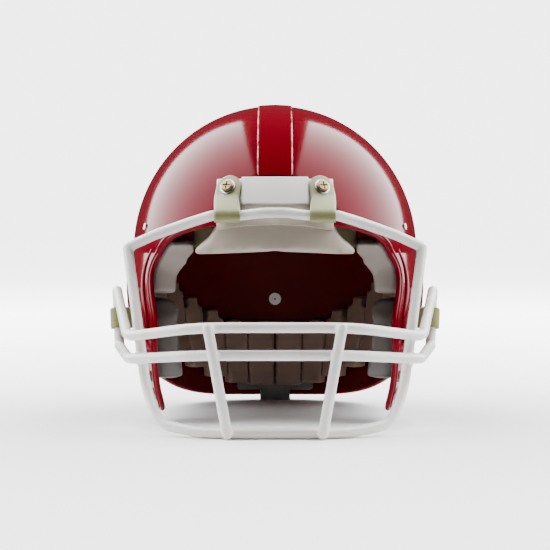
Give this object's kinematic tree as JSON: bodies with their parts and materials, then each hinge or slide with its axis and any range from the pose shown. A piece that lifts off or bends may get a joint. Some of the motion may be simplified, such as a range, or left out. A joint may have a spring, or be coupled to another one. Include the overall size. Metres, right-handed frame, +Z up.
{
  "type": "american football helmet",
  "caption": "Glossy red football helmet with a raised centre stripe, padded liner and a white coated wire face mask held by clear vinyl loop clips.",
  "frame": {"origin": "on the floor under the middle of the helmet's overall box", "axes": "+Z up, -Y the way the wearer looks, +X the wearer's left"},
  "size_m": [0.2612, 0.334, 0.2499],
  "materials": {
    "shell_red": "high gloss",
    "white_rubber": "satin",
    "dark_rubber": "satin",
    "cream_vinyl": "satin",
    "pad_vinyl": "satin",
    "liner_vinyl": "satin",
    "tan_foam": "matte",
    "nickel": "polished",
    "brass": "polished",
    "valve_rubber": "satin",
    "mask_coating": "satin vinyl over steel wire",
    "clip_vinyl": "translucent, yellowed"
  },
  "bodies": {
    "helmet": {"shell": "shell_red", "center_stripe": "shell_red", "front_bumper": "white_rubber", "rear_bumper": "dark_rubber", "forehead_pad": "cream_vinyl", "forehead_foam": "tan_foam", "temple_pad_left": "pad_vinyl", "temple_pad_right": "pad_vinyl", "rear_liner": "liner_vinyl", "crown_pad": "liner_vinyl", "jaw_pad_studs": "nickel", "chin_strap_snaps": "nickel", "temple_rivets": "nickel", "inflation_valve": "valve_rubber", "top_clip_left": "clip_vinyl", "top_clip_right": "clip_vinyl", "top_clip_screws": "nickel", "side_clip_screws": "nickel", "clip_washers": "brass", "clip_t_nuts": "nickel"},
    "facemask": {"mask_top_bar": "mask_coating", "mask_jaw_loop": "mask_coating", "mask_upper_bar": "mask_coating", "mask_lower_bar": "mask_coating", "mask_upright_left": "mask_coating", "mask_upright_right": "mask_coating", "mask_side_bar_left": "mask_coating", "mask_side_bar_right": "mask_coating", "side_clip_left": "clip_vinyl", "side_clip_right": "clip_vinyl"},
    "jaw_pad_left": {"jaw_pad_left": "pad_vinyl"},
    "jaw_pad_right": {"jaw_pad_right": "pad_vinyl"}
  },
  "joints": [
    {"name": "mask_swing", "type": "hinge", "parent": "helmet", "child": "facemask", "pos_m": [0, -0.105, 0.161], "axis": [-1, 0, 0], "range_deg": [0, 75]},
    {"name": "jaw_pad_left_unsnap", "type": "slide", "parent": "helmet", "child": "jaw_pad_left", "axis": [-1, 0, 0], "range_m": [0, 0.02]},
    {"name": "jaw_pad_right_unsnap", "type": "slide", "parent": "helmet", "child": "jaw_pad_right", "axis": [1, 0, 0], "range_m": [0, 0.02]}
  ]
}
